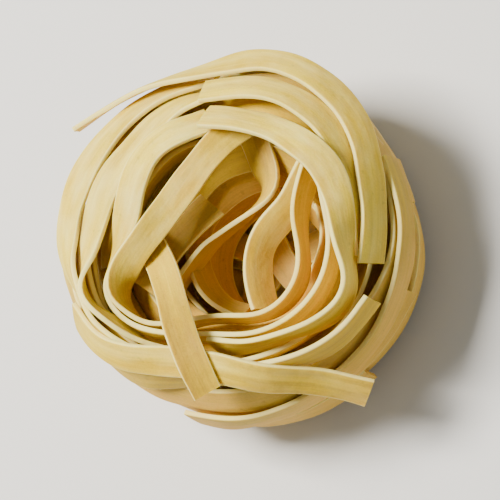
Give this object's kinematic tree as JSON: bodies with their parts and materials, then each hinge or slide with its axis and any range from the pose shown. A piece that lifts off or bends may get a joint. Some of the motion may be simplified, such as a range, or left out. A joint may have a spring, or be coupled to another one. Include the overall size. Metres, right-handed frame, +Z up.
{
  "type": "dry pasta nest",
  "caption": "Single nest of dried egg tagliatelle: flat ribbons coiled into a low round cup with an open hollow, standing on its flat underside.",
  "frame": {"origin": "middle of the flat underside, on the surface the nest stands on", "axes": "+Z up along the axis the ribbons are coiled round, with the hollow open upwards; +X and +Y are level, and the rim's lower, fuller side is towards -Y"},
  "size_m": [0.0769, 0.0757, 0.0406],
  "materials": {
    "dry_pasta": "matt dried egg pasta, floury and finely streaked lengthwise"
  },
  "bodies": {
    "root": {"pasta_nest": "dry_pasta"}
  },
  "joints": []
}
